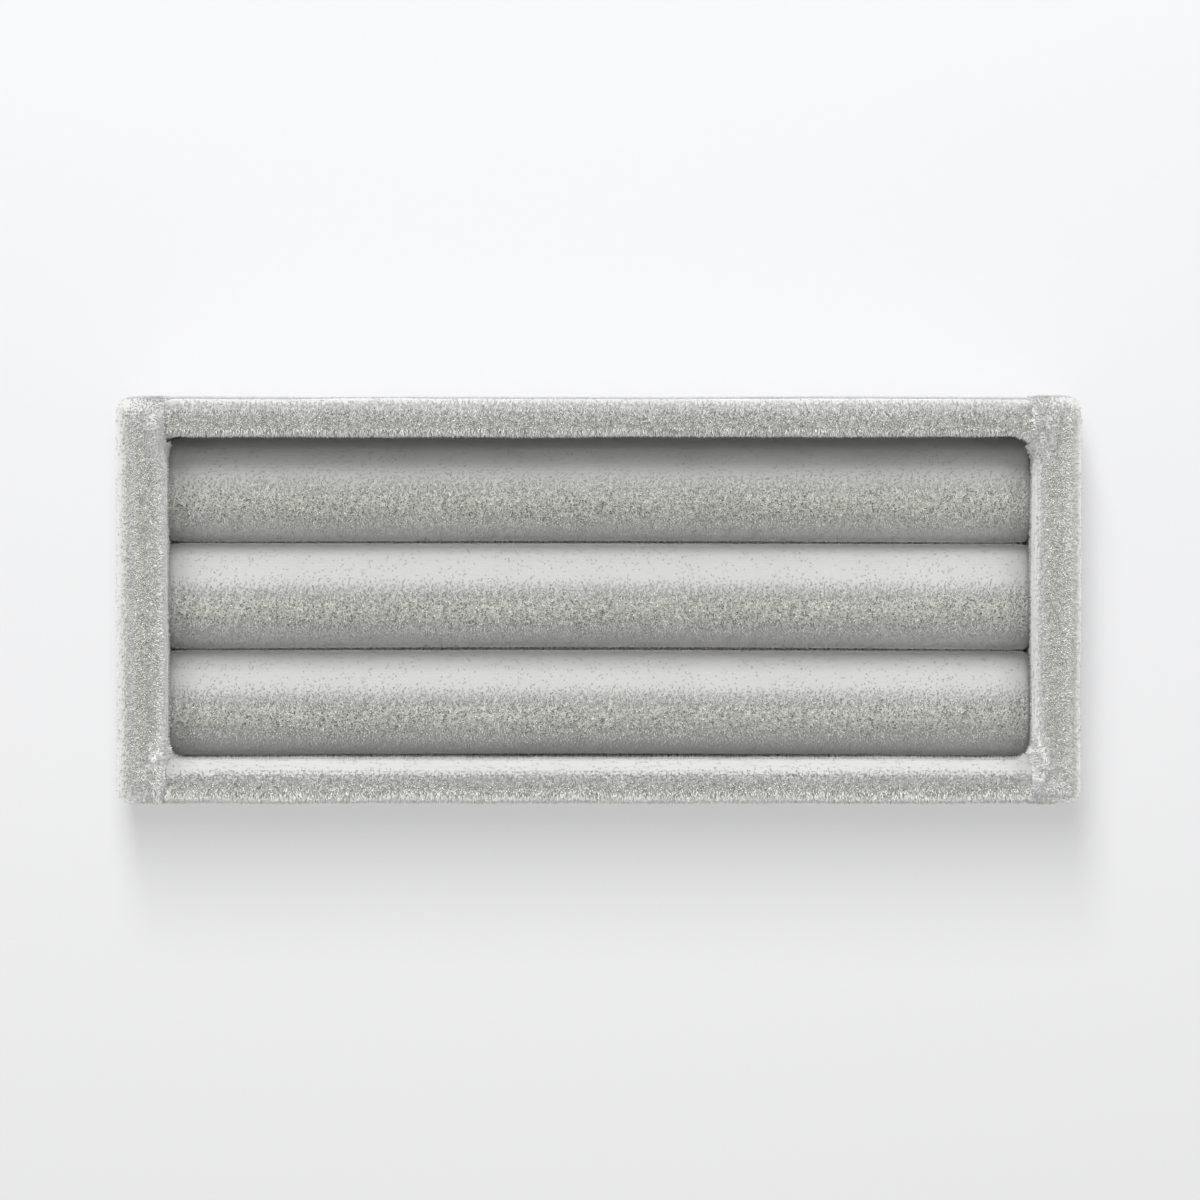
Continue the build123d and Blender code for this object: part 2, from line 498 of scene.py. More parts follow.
def velvet_pile_material(name, settings):
    """Pile: painted darker at the roots, painted shade deep between the tufts, each tuft its own
    shade, in faint brushed clouds.

    The speckle is 1 where the pile stands open and 0 where it is brushed flat, and the painted
    light and shade kept on the bed lightens or darkens it.
    """
    def build(nodes):
        place = object_place(nodes)
        speckle = nodes.attribute("speckle")
        spot = nodes.attribute("spot", "Vector")
        rise = nodes.add("ShaderNodeSeparateXYZ", None, {0: spot}, output="Z")
        # A tuft is shaded more by the way it leans than by its own faces, and most when flat
        lean = nodes.scaled(nodes.attribute("axis", "Vector"), 5.0 - 3.4 * speckle)
        face = nodes.add("ShaderNodeNewGeometry", output="Normal")
        clouds = nodes.noise(place, 55.0, 3.0)
        grain = nodes.noise(place, 900.0, 2.0)
        # Painted shade: each tuft darkens towards its root, the less so the flatter the pile is
        # brushed
        standing = nodes.mix((rise ** 0.8 + 1.0 - speckle).clamped(), settings.root_shade_colour,
                             settings.tip_colour)
        colour = nodes.mix((speckle * 1.4).clamped(), settings.brushed_colour, standing)
        mottle = 1.25 * (nodes.attribute("shade") - 0.5) + 0.45 * (grain - 0.5)
        own = 0.97 + speckle * mottle + 0.14 * (clouds - 0.5)
        return {
            "Base Color": nodes.toned(colour, own * bloom_level(nodes)),
            "Normal": nodes.vector("NORMALIZE", nodes.vector("ADD", lean, face)),
        }
    return new_material(
        name, build, Roughness=0.9, Specular_IOR_Level=0.1,
        Sheen_Weight=1.0, Sheen_Roughness=0.4)


def velvet_ground_material(name, brushed):
    """Backing cloth that shows between the tufts, painted darker as shade deep in the pile, and
    pile brushed flat on it, toned by the painted light and shade kept on the bed.
    """
    def build(nodes):
        place = object_place(nodes)
        weave = nodes.noise(place, 1500.0, 2.0)
        clouds = nodes.noise(place, 70.0, 2.0)
        speckle = nodes.attribute("speckle")
        light, dark = BACKING_AND_SHADE
        backing = nodes.mix((weave * 0.6 + clouds * 0.4).clamped(), dark, light)
        layer = nodes.toned(brushed, bloom_level(nodes) + 0.1 * (clouds - 0.5))
        height = weave * (0.15 + 0.85 * speckle.clamped())
        return {
            "Base Color": nodes.mix((speckle * 1.6 - 0.6).clamped(), layer, backing),
            "Normal": nodes.bump(0.6, 0.2 * MM, height),
        }
    return new_material(
        name, build, Roughness=0.9, Specular_IOR_Level=0.1,
        Sheen_Weight=0.6, Sheen_Roughness=0.4)


def flock_material(name, light, dark):
    """Thin flocked sheet."""
    def build(nodes):
        place = object_place(nodes)
        speckle = nodes.noise(place, 2200.0, 3.0)
        patches = nodes.noise(place, 40.0, 3.0)
        mixed = (speckle * 0.7 + patches * 0.3).clamped()
        return {
            "Base Color": nodes.mix(mixed, dark, light),
            "Normal": nodes.bump(0.5, 0.15 * MM, speckle),
        }
    return new_material(name, build, Roughness=0.92, Specular_IOR_Level=0.15, Sheen_Weight=0.3)


def fibreboard_material(name):
    """Raw fibreboard: fine fibres with darker flecks."""
    def build(nodes):
        place = object_place(nodes)
        stretched = nodes.add(
            "ShaderNodeMapping", None, {"Vector": place, "Scale": (1.0, 1.0, 3.0)})
        fibres = nodes.noise(stretched, 900.0, 4.0)
        flecks = nodes.noise(place, 260.0, 2.0)
        colour = nodes.ramp(fibres, [
            (0.25, (0.30, 0.21, 0.13)), (0.5, (0.50, 0.37, 0.24)), (0.8, (0.66, 0.52, 0.36))])
        fleck = ((flecks - 0.62) * 6.0).clamped()
        return {
            "Base Color": nodes.mix(fleck * 0.5, colour, (0.24, 0.16, 0.10)),
            "Roughness": 0.8 + 0.15 * fibres,
            "Normal": nodes.bump(0.4, 0.2 * MM, fibres),
        }
    return new_material(name, build)


def grey_card_material(name):
    """Grey card with pale and dark fibres."""
    def build(nodes):
        place = object_place(nodes)
        pulp = nodes.noise(place, 1400.0, 4.0)
        fibres = nodes.ramp(pulp, [
            (0.3, (0.36, 0.34, 0.30)), (0.55, (0.50, 0.47, 0.42)), (0.75, (0.62, 0.59, 0.53))])
        clouds = nodes.ramp(nodes.noise(place, 90.0, 3.0), [
            (0.3, (0.40, 0.38, 0.34)), (0.7, (0.58, 0.55, 0.50))])
        return {
            "Base Color": nodes.mix(0.35, fibres, clouds),
            "Roughness": 0.82 + 0.12 * pulp,
            "Normal": nodes.bump(0.3, 0.1 * MM, pulp),
        }
    return new_material(name, build)


def foam_material(name):
    """Open-cell foam: a pale body with fine pores painted darker, painted shade in the holes."""
    def build(nodes):
        cells = nodes.add(
            "ShaderNodeTexVoronoi", {"feature": "DISTANCE_TO_EDGE"},
            {"Vector": object_place(nodes), "Scale": 1600.0}, output="Distance")
        shaded_pores = ((cells - 0.05) * 4.0).clamped()
        return {
            "Base Color": nodes.mix(shaded_pores, (0.84, 0.82, 0.74), (0.62, 0.60, 0.52)),
            "Normal": nodes.bump(0.7, 0.2 * MM, shaded_pores),
        }
    return new_material(name, build, Roughness=0.95, Specular_IOR_Level=0.1)


def link_object(name, mesh):
    thing = bpy.data.objects.new(name, mesh)
    bpy.context.scene.collection.objects.link(thing)
    return thing


def set_material(mesh, material):
    mesh.materials.clear()
    mesh.materials.append(material)


def smooth(low, high, value):
    """0 below low, 1 above high, and an even S between."""
    share = np.clip((value - low) / (high - low), 0.0, 1.0)
    return share * share * (3 - 2 * share)


def wander(points, size, seed):
    """Smooth noise from -1 to 1 at each point, in patches of about that size."""
    offset = Vector((seed * 3.17, seed * 1.73, seed * 2.39))
    flat = points.reshape(-1, 3)
    values = [noise.noise(Vector(point) / size + offset) for point in flat]
    return np.array(values).reshape(points.shape[:-1])


def unevenness(points, patches):
    """Smooth noise at each point, added up from the height, width and seed of its patches."""
    return sum(height * wander(points, width, seed) for height, width, seed in patches)


def respace(points, count):
    """The line through the points, in count evenly spaced points."""
    points = np.array(points, float)
    reach = np.concatenate([[0.0], np.cumsum(np.linalg.norm(np.diff(points, axis=0), axis=1))])
    places = np.linspace(0.0, reach[-1], count)
    return np.stack([np.interp(places, reach, points[:, axis]) for axis in (0, 1)], axis=1)


def arc(centre, radius, first, last):
    """Plan points on an arc, by angles."""
    angles = np.linspace(first, last, ARC_STEPS)
    return [(centre[0] + radius * math.cos(a), centre[1] + radius * math.sin(a)) for a in angles]


def outer_quarter(kind, offset):
    """Plan line at an offset inside the tray's outline, from the seam to the middle of the side."""
    half_x = HALF_LENGTH - offset
    half_y = HALF_DEPTH - offset
    if kind == "long":
        turn = (WELL_HALF_LENGTH - WELL_CORNER, half_y)
        corner = respace([(WELL_HALF_LENGTH, half_y), turn], CORNER_COLUMNS)
        return np.vstack([corner, respace([turn, (0.0, half_y)], LONG_COLUMNS)[1:]])
    radius = max(OUTER_CORNER - offset, SHARPEST_CORNER)
    bend = arc((half_x - radius, half_y - radius), radius, math.pi / 2, 0.0)
    corner = respace([(WELL_HALF_LENGTH, half_y), *bend], CORNER_COLUMNS)
    return np.vstack([corner, respace([bend[-1], (half_x, 0.0)], END_COLUMNS)[1:]])


def inner_quarter(kind, offset, corner_radius):
    """Plan line at an offset outside the opening, from the seam or mitre to mid side."""
    centre = (WELL_HALF_LENGTH - corner_radius, WELL_HALF_DEPTH - corner_radius)
    radius = corner_radius + offset
    seam_turn = max(math.acos(min(corner_radius / radius, 1.0)), math.pi / 4)
    if kind == "long":
        bend = arc(centre, radius, seam_turn, math.pi / 2)
        middle = (0.0, WELL_HALF_DEPTH + offset)
        count = LONG_COLUMNS
    else:
        bend = arc(centre, radius, seam_turn, 0.0)
        middle = (WELL_HALF_LENGTH + offset, 0.0)
        count = END_COLUMNS
    return np.vstack([respace(bend, CORNER_COLUMNS), respace([bend[-1], middle], count)[1:]])


def opening_corner(side, depth_side, level):
    """Radius of one corner of the opening, which settles to the boards' own below the rim."""
    at_rim = OPENING_CORNERS[side, depth_side]
    deep = float(smooth(RIM_TOP - CORNER_FADE, RIM_TOP - INNER_DROP / 2, level))
    return WELL_CORNER + (at_rim - WELL_CORNER) * deep


def wrap_profile(kind, side):
    """Rows of a wrap from its turned-in edge to its foot inside the well.

    Each is (inner, offset, level): the offset is from the outline, or from the opening when inner
    is 1.
    """
    outer_depth = OUTER_DEPTHS[side]
    inner_depth = INNER_DEPTHS[side]
    outer_round, inner_round = (RAILS[kind] * share for share in ROUND_SHARES[side])
    bed_top = RIM_TOP - RIM_DEPTH
    spring = RIM_TOP - OUTER_DROP
    inner_spring = RIM_TOP - INNER_DROP
    foot = SKIN_FOOT + TURN_IN_LIFT
    rows = [(0, offset, foot) for offset in np.linspace(TURN_IN, outer_depth + FOLD_RADIUS, 6)]
    rows += [(0, outer_depth + FOLD_RADIUS * (1 - math.sin(turn)),
              foot + FOLD_RADIUS * (1 - math.cos(turn)))
             for turn in np.linspace(0, math.pi / 2, 5)[1:]]
    rows += [(0, outer_depth, level) for level in np.linspace(foot + FOLD_RADIUS, spring, 18)[1:]]
    rows += [(0, outer_round - (outer_round - outer_depth) * math.cos(turn),
              spring + (bed_top - spring) * math.sin(turn))
             for turn in np.linspace(0, math.pi / 2, 12)[1:]]
    rows += [(1, inner_round - (inner_round - inner_depth) * math.cos(turn),
              inner_spring + (bed_top - inner_spring) * math.sin(turn))
             for turn in np.linspace(math.pi / 2, 0, 10)]
    # Inside, the foot turns in under the lining
    inner_foot = WELL_LOW.z + INNER_FOOT_LIFT
    rows += [(1, inner_depth, level) for level in np.linspace(inner_spring, inner_foot, 15)[1:]]
    rows.append((1, -INNER_FOOT_LIFT, inner_foot))
    return rows


def wrap_grid(kind, side):
    """Points of a wrap, as rows by columns, from one seam to the other."""
    if kind == "long":
        quarters = [("left", side), ("right", side)]
    else:
        quarters = [(side, "back"), (side, "front")]
    grid = []
    for inner, offset, level in wrap_profile(kind, side):
        halves = []
        for across, along in quarters:
            radius = opening_corner(across, along, level)
            line = inner_quarter(kind, offset, radius) if inner else outer_quarter(kind, offset)
            halves.append(line * (SIGNS[across], SIGNS[along]))
        plan = np.vstack([halves[0], halves[1][::-1][1:]])
        grid.append(np.column_stack([plan, np.full(len(plan), level)]))
    return np.array(grid)


def grid_normals(grid):
    """Unit normals of a grid of points."""
    normals = np.cross(np.gradient(grid, axis=1), np.gradient(grid, axis=0))
    normals /= np.linalg.norm(normals, axis=2, keepdims=True) + 1e-12
    return normals


def reach_along(grid):
    """Distance of each point from the nearer end of its row."""
    gaps = np.linalg.norm(np.diff(grid, axis=1), axis=2)
    reach = np.concatenate([np.zeros((len(grid), 1)), np.cumsum(gaps, axis=1)], axis=1)
    return np.minimum(reach, reach[:, -1:] - reach)


def grid_mesh(name, grid, turned, closed=False):
    """A mesh of quads over a grid. A closed one joins its last column to its first."""
    rows, columns = grid.shape[:2]
    number = np.arange(rows * columns).reshape(rows, columns)
    faces = []
    for row in range(rows - 1):
        for column in range(columns if closed else columns - 1):
            after = (column + 1) % columns
            face = (number[row, column], number[row, after],
                    number[row + 1, after], number[row + 1, column])
            faces.append(face[::-1] if turned else face)
    mesh = bpy.data.meshes.new(name)
    mesh.from_pydata(grid.reshape(-1, 3).tolist(), [], [tuple(int(i) for i in f) for f in faces])
    return mesh


def grid_shares(grid):
    """How far each point lies across and up its grid, from 0 to 1."""
    rows, columns = grid.shape[:2]
    across = np.tile(np.linspace(0.0, 1.0, columns), (rows, 1))
    up = np.tile(np.linspace(0.0, 1.0, rows)[:, None], (1, columns))
    return across, up


def cut_size(grid):
    """Length and width of the flat piece that a grid was wrapped from."""
    along = np.linalg.norm(np.diff(grid, axis=1), axis=2).sum(axis=1)
    girth = np.linalg.norm(np.diff(grid, axis=0), axis=2).sum(axis=0)
    return float(along.mean()), float(girth.mean())


def store(mesh, name, kind, values):
    """Keeps one value for each vertex on the mesh, for the pile to read."""
    attribute = mesh.attributes.new(name, kind, "POINT")
    field = "vector" if kind == "FLOAT_VECTOR" else "value"
    attribute.data.foreach_set(field, np.asarray(values, np.float32).ravel())


def map_from_shares(mesh, across, up):
    """The bake map, from a share across and up for each vertex."""
    layer = mesh.uv_layers.new(name=BAKE_MAP)
    corners = np.zeros(len(mesh.loops), np.int32)
    mesh.loops.foreach_get("vertex_index", corners)
    shares = np.column_stack([across.ravel()[corners], up.ravel()[corners]])
    layer.data.foreach_set("uv", shares.astype(np.float32).ravel())


def store_bed(mesh, across, up, grow, **values):
    """Keeps on a bed its bake map and all that the pile reads."""
    map_from_shares(mesh, across, up)
    for name, value in values.items():
        store(mesh, name, "FLOAT", value)
    store(mesh, "grow", "FLOAT_VECTOR", grow)
    inset_map = np.stack([across, up, np.zeros_like(up)], axis=-1) * 0.99 + 0.005
    store(mesh, "root_map", "FLOAT_VECTOR", inset_map)


def pile_tree(material):
    """Geometry nodes that grow tufts from a bed.

    The bed's attributes say how thick the pile stands, which way it grows, how tall it is and how
    much it is ruffled.
    """
    tree = bpy.data.node_groups.new("Velvet Pile", "GeometryNodeTree")
    face = tree.interface
    face.new_socket(name="Bed", in_out="INPUT", socket_type="NodeSocketGeometry")
    for name, value in PILE_INPUTS.items():
        socket = face.new_socket(name=name, in_out="INPUT", socket_type="NodeSocketFloat")
        socket.default_value = value
    face.new_socket(name="Seed", in_out="INPUT", socket_type="NodeSocketInt")
    face.new_socket(name="Pile", in_out="OUTPUT", socket_type="NodeSocketGeometry")
    nodes = Nodes(tree)
    bed = nodes.add("NodeGroupInput", output="Bed")
    length, radius, ruffle_size, ruffle_lean, patch_size, seed = (
        nodes.other(bed, name) for name in (*PILE_INPUTS, "Seed"))
    place = nodes.add("GeometryNodeInputPosition", output="Position")

    def kept(name, kind="FLOAT"):
        return nodes.add(
            "GeometryNodeInputNamedAttribute", {"data_type": kind}, {"Name": name},
            output="Attribute")

    def keep(geometry, name, value, kind="FLOAT_VECTOR", domain="POINT"):
        return nodes.add(
            "GeometryNodeStoreNamedAttribute", {"data_type": kind, "domain": domain},
            {"Geometry": geometry, "Name": name, "Value": value}, output="Geometry")

    def chance(low, high, offset, kind="FLOAT"):
        return nodes.add(
            "FunctionNodeRandomValue", {"data_type": kind},
            {"Min": low, "Max": high, "Seed": seed + offset}, output="Value")

    def ruffles(size):
        noise_there = nodes.noise(place, 1.0 / size, 1.0, "Color")
        return nodes.vector("SUBTRACT", noise_there, (0.5, 0.5, 0.5))

    scatter = nodes.add(
        "GeometryNodeDistributePointsOnFaces", {"distribute_method": "RANDOM"},
        {"Mesh": bed, "Density": kept("pile"), "Seed": seed}, output="Points")
    rough = kept("speckle")
    jitter = chance((-0.22, -0.22, -0.22), (0.22, 0.22, 0.22), 11, "FLOAT_VECTOR")
    fine_lean = nodes.scaled(ruffles(ruffle_size), ruffle_lean * (rough * 0.9 + 0.1))
    broad_lean = nodes.scaled(ruffles(patch_size), kept("ruffle"))
    lean = nodes.vector("ADD", fine_lean, broad_lean)
    stray = nodes.vector("ADD", lean, nodes.scaled(jitter, rough * 0.85 + 0.15))
    direction = nodes.vector("ADD", kept("grow", "FLOAT_VECTOR"), stray)
    upright = nodes.add(
        "FunctionNodeAlignRotationToVector", {"axis": "Z"}, {"Vector": direction},
        output="Rotation")
    spin = nodes.add(
        "FunctionNodeAxisAngleToRotation", None,
        {"Axis": (0.0, 0.0, 1.0), "Angle": chance(0.0, 2 * math.pi, 3)}, output="Rotation")
    turned = nodes.add(
        "FunctionNodeRotateRotation", {"rotation_space": "LOCAL"},
        {"Rotation": upright, "Rotate By": spin}, output="Rotation")
    width = radius * chance(0.75, 1.3, 5)
    height = length * chance(0.72, 1.12, 6) * kept("tall")
    size = nodes.add("ShaderNodeCombineXYZ", None, {"X": width, "Y": width, "Z": height})
    tuft = nodes.add(
        "GeometryNodeMeshCone", {"fill_type": "NGON"},
        {"Vertices": 3, "Radius Top": 0.0, "Radius Bottom": 1.0, "Depth": 1.0}, output="Mesh")
    tuft = keep(tuft, "spot", place)
    aimed = keep(scatter, "axis", nodes.vector("NORMALIZE", direction))
    shaded = keep(aimed, "shade", chance(0.0, 1.0, 8), "FLOAT")
    planted = nodes.add(
        "GeometryNodeInstanceOnPoints", None,
        {"Points": shaded, "Instance": tuft, "Rotation": turned, "Scale": size},
        output="Instances")
    realized = nodes.add(
        "GeometryNodeRealizeInstances", None, {"Geometry": planted}, output="Geometry")
    # On the bake map each tuft has a small place of its own, round that of its root
    tuft_map = nodes.vector("ADD", kept("root_map", "FLOAT_VECTOR"),
                            nodes.scaled(kept("spot", "FLOAT_VECTOR"), 0.0015))
    mapped = keep(realized, BAKE_MAP, tuft_map, "FLOAT2", "CORNER")
    finished = nodes.add(
        "GeometryNodeSetMaterial", None, {"Geometry": mapped, "Material": material},
        output="Geometry")
    nodes.add("NodeGroupOutput", None, {"Pile": finished})
    return tree


def plain_mesh(thing, modifier):
    """The mesh that a thing's modifiers make of it. The modifier itself is removed."""
    evaluated = thing.evaluated_get(bpy.context.evaluated_depsgraph_get())
    mesh = bpy.data.meshes.new_from_object(evaluated)
    thing.modifiers.remove(modifier)
    return mesh


def grow_pile(name, bed, tree, length, settings):
    """Grows the pile on a bed and returns it as one plain mesh."""
    modifier = bed.modifiers.new("Velvet Pile", "NODES")
    modifier.node_group = tree
    values = {
        "Tuft Length": length,
        "Tuft Radius": settings.tuft_radius,
        "Ruffle Size": settings.ruffle_size,
        "Ruffle Lean": settings.ruffle_lean,
        "Patch Size": settings.patch_size,
        "Seed": settings.seed,
    }
    for item in tree.interface.items_tree:
        if item.in_out == "INPUT" and item.name in values:
            modifier[item.identifier] = values[item.name]
    mesh = plain_mesh(bed, modifier)
    mesh.name = name
    for spare in ("pile", "grow", "tall", "ruffle", "root_map"):
        if spare in mesh.attributes:
            mesh.attributes.remove(mesh.attributes[spare])
    print(name, "tufts", len(mesh.polygons) // 4)
    return link_object(name, mesh)


def thick_sheet(name, bed, thickness, material):
    """Turns an open bed into a sheet, with its thickness inwards from the bed's outer face."""
    modifier = bed.modifiers.new("Thickness", "SOLIDIFY")
    modifier.thickness = thickness
    modifier.offset = -1.0
    mesh = plain_mesh(bed, modifier)
    bpy.data.objects.remove(bed)
    set_material(mesh, material)
    return link_object(name, mesh)


def dress(things, body, node):
    """Rides things on a body, in the place of a CAD node."""
    for thing in things:
        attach(thing, body)
        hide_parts(node)


def standing_share(share):
    """The share of tufts that stand, from none but strays to all."""
    return STRAY_SHARE + (1 - STRAY_SHARE) * share


def wrap_places(kind, side):
    """A wrap's grid and normals, and where each point lies, as distances and as shares of 1."""
    grid = wrap_grid(kind, side)
    normals = grid_normals(grid)
    middle = grid.shape[1] // 2
    crest = int(np.argmax(grid[:, middle, 2]))
    turned = normals[crest, middle, 2] < 0
    inner, offset, _ = np.array(wrap_profile(kind, side)).T
    inside_well = (inner > 0)[:, None]
    level = grid[..., 2]
    from_seam = reach_along(grid)
    upper_wall = smooth(*WALL_BRUSHED, level + unevenness(grid, WALL_PATCHES))
    return SimpleNamespace(
        grid=grid,
        normals=-normals if turned else normals,
        turned=turned,
        level=level,
        up=grid_shares(grid)[1],
        inside_well=inside_well,
        in_front=grid[..., 1] < 0,
        near_rim=np.where(inside_well, smooth(*WELL_BRUSHED, level), upper_wall),
        from_inner=np.where(inner > 0, offset, RAILS[kind] - offset)[:, None],
        from_opening=np.hypot(
            np.abs(grid[..., 0]) - WELL_HALF_LENGTH, grid[..., 1] + WELL_HALF_DEPTH),
        from_seam=from_seam,
        at_seam=1 - smooth(0.0, SEAM_WIDTH, from_seam),
        ridge=np.exp(-(((from_seam - RIDGE_PLACE) / RIDGE_WIDTH) ** 2)),
        corner=smooth(*CORNER_BANDS[kind], from_seam),
    )


def wrap_speckle(kind, side, at):
    """How open the pile stands on a wrap's rim, and the fringe of tufts beside its front seams."""
    outer_band, inner_band, openness = OPEN_BANDS[side][:3]
    speckle = smooth(*outer_band, RAILS[kind] - at.from_inner) * smooth(*inner_band, at.from_inner)
    # In front the pile fans out from the corners of the opening
    speckle = openness * speckle * (1 - 0.8 * smooth(*FLAT_FAN, at.from_opening))
    if kind == "long":
        return speckle, np.zeros_like(at.level)
    patches = wander(at.grid, PATCH_SIZE, 9) - 0.3 * at.in_front
    brushed = at.corner * smooth(*PATCH_FADE, patches) * np.where(at.in_front, 0.6, 1.0)
    speckle *= 1 - np.maximum(0.75 * brushed, 0.5 * at.ridge)
    tufts = smooth(*FRINGE_FADE, wander(at.grid, FRINGE_SIZE, 12))
    fringe = at.ridge * at.near_rim * at.in_front * tufts
    return np.maximum(speckle, 0.75 * fringe), fringe


def wrap_lift(kind, side, at):
    """How far the cloth is lifted: waves, a dip at each seam and a ridge beside it."""
    waves = unevenness(at.grid, WAVES)
    if kind == "end":
        ridge = np.where(at.in_front, FRONT_RIDGE, BACK_RIDGE) * at.ridge
        return waves + (ridge * smooth(*RIDGE_FACING, at.normals[..., 2]) - END_DIP * at.at_seam)
    return waves - BACK_DIP * at.at_seam * (side == "back")


def wrap_bloom(kind, side, at, speckle, fringe, calm):
    """How much paler or darker the pile is painted at each point of a wrap: painted light and sheen
    on its rails and edges, painted highlights at the opening and painted shade at the back seams.
    """
    rail_painted_light, brushed_painted_sheen = OPEN_BANDS[side][3:]
    outside = ~at.inside_well
    on_rim = np.where(at.inside_well, 1.0, smooth(*RIM_PAINTED_LEVELS, at.level))
    slope = np.sqrt(1 - np.minimum(at.normals[..., 2] ** 2, 1.0))
    edge = smooth(*EDGE_SLOPES, slope) * outside
    to_back = smooth(*FACING, at.normals[..., 1]) * outside
    to_front = smooth(*FACING, -at.normals[..., 1]) * outside
    # Painted sheen along the steep outer edges, less where they face the back, and painted light
    # where they face the front
    edge_painted_sheen = EDGE_PAINTED_SHEEN[kind]
    edge_painted_sheen = (edge_painted_sheen + (BACK_EDGE_PAINTED_SHEEN - edge_painted_sheen) * to_back
                  + FRONT_EDGE_PAINTED_LIGHT * to_front)
    # Painted light of each rail, plus the painted sheen of its edges
    bloom = rail_painted_light + edge_painted_sheen * edge
    # Painted highlight along the inner edge
    inner_highlight = smooth(*INNER_HIGHLIGHT_BAND, at.from_inner)
    if kind == "end":
        # Painted highlight round the front corners of the opening, along the inner edge and by the
        # seams
        corner = 0.6 * fringe + smooth(*PAINTED_LIGHT_FAN, at.from_opening)
        corner += 1.2 * inner_highlight
        corner += at.corner * at.in_front
        bloom += np.minimum(corner, PALEST_PAINTED_CORNER) * at.near_rim
    elif side == "back":
        # Painted shade along the back rail's seams
        bloom -= 0.8 * at.at_seam * at.near_rim
    else:
        # The front rail's painted light is dimmed towards its ends, and a painted highlight runs
        # along its inner edge
        bloom -= 1.8 * smooth(*FRONT_END, at.from_seam) * (1 - speckle) * at.near_rim
        bloom += 0.8 * inner_highlight * at.near_rim
    # Painted light on the back wall below the rim
    back_wall = BACK_WALL_PAINTED_LIGHT * to_back * (1 - on_rim)
    # Painted sheen where the pile is brushed flat; the painted light fades out down the walls
    # except where they face the back
    return (bloom + brushed_painted_sheen * calm) * np.maximum(on_rim, 0.9 * to_back) + back_wall


def wrap_density(kind, at, fringe, calm):
    """Tufts to the square millimetre: thick on the rim, thinner where it is seen less."""
    outward = at.normals[..., 2] < 0.2
    inside = at.up > WELL_SHARE
    bare = (at.up < TURNED_IN_SHARE) | (inside & (at.level < WELL_FLOOR))
    density = np.select(
        [bare, at.level < FOOT_LEVEL, (at.level < DEEP_LEVEL) & inside, inside & outward, outward],
        [0.0, FOOT_DENSITY, DEEP_DENSITY, WELL_DENSITY, WALL_DENSITIES[kind]], RIM_DENSITY)
    standing = standing_share(smooth(0.0, 0.5, 1 - calm))
    if kind == "end":
        standing = np.maximum(standing, 0.3 * at.corner * at.near_rim)
    return density * np.maximum(standing, 0.8 * fringe)


def wrap_bed(name, kind, side):
    """The cloth's surface under one wrap's pile, with what the pile reads, and its flat size."""
    at = wrap_places(kind, side)
    speckle, fringe = wrap_speckle(kind, side, at)
    calm = (1 - speckle) * at.near_rim
    grid = at.grid + at.normals * (wrap_lift(kind, side, at) + RIM_LAYER * calm)[..., None]
    bloom = wrap_bloom(kind, side, at, speckle, fringe, calm)
    speckle = at.near_rim * speckle + (1 - at.near_rim) * OPEN_WALLS
    tall = 1 - 0.55 * calm - 0.25 * (1 - at.near_rim) + 0.3 * fringe
    grow = at.normals.copy()
    if kind == "end":
        # Beside the seam the pile is tall and leans over it
        tall += 0.28 * at.ridge * at.near_rim
        lean = 1 - smooth(*LEAN_BAND, at.from_seam)
        grow[..., 0] += -SIGNS[side] * 0.8 * lean * at.near_rim
    mesh = grid_mesh(name, grid, at.turned)
    store_bed(
        mesh, *grid_shares(grid), grow,
        pile=wrap_density(kind, at, fringe, calm) / MM ** 2,
        tall=tall,
        ruffle=0.4 * speckle + 1.6 * at.corner * at.near_rim,
        speckle=speckle,
        bloom=bloom)
    return link_object(name, mesh), cut_size(grid)


def make_wrap(name, kind, side, tree, ground, settings):
    """One wrap: its cloth and its pile."""
    node = ("rim_wrap_" if kind == "long" else "end_wrap_") + side
    bed, flat = wrap_bed(name + "_bed", kind, side)
    pile = grow_pile(name + "_pile", bed, tree, settings.rim_length, settings)
    cloth = thick_sheet(name + "_cloth", bed, CLOTH_THICKNESS, ground)
    dress([pile, cloth], "tray", node)


def roll_half_outline(half_width, height, inset):
    """Half of a roll's section from foot to crown: drawn in, upright, shoulder and crown."""
    crown = CROWN_RADIUS_SHARE * half_width
    shoulder = (half_width - crown * math.sin(CROWN_TURN)) / (1 - math.sin(CROWN_TURN))
    side = half_width - inset
    side_top = height - crown + (crown - shoulder) * math.cos(CROWN_TURN)
    draw_in = DRAW_IN_RADIUS - inset
    bend = shoulder - inset
    cap = crown - inset
    points = []

    def add_arc(y, z, radius, turns):
        points.extend((y + radius * math.cos(turn), z + radius * math.sin(turn)) for turn in turns)

    add_arc(side - draw_in, DRAW_IN_HEIGHT, draw_in,
            np.linspace(-math.asin(DRAW_IN_HEIGHT / draw_in), 0, 5))
    points.append((side, (DRAW_IN_HEIGHT + side_top) / 2))
    add_arc(side - bend, side_top, bend, np.linspace(0, math.pi / 2 - CROWN_TURN, 8))
    add_arc(0.0, height - crown, cap, np.linspace(math.pi / 2 - CROWN_TURN, math.pi / 2, 7)[1:])
    return points


def roll_ring(half_width, height, inset):
    """A roll's whole section: over the crown from foot to foot, then back along the card."""
    half = roll_half_outline(half_width, height, inset)
    over = half + [(-y, z) for y, z in reversed(half[:-1])]
    foot = half[0][0]
    return over + [(y, 0.0) for y in np.linspace(-foot, foot, 8)[1:-1]]


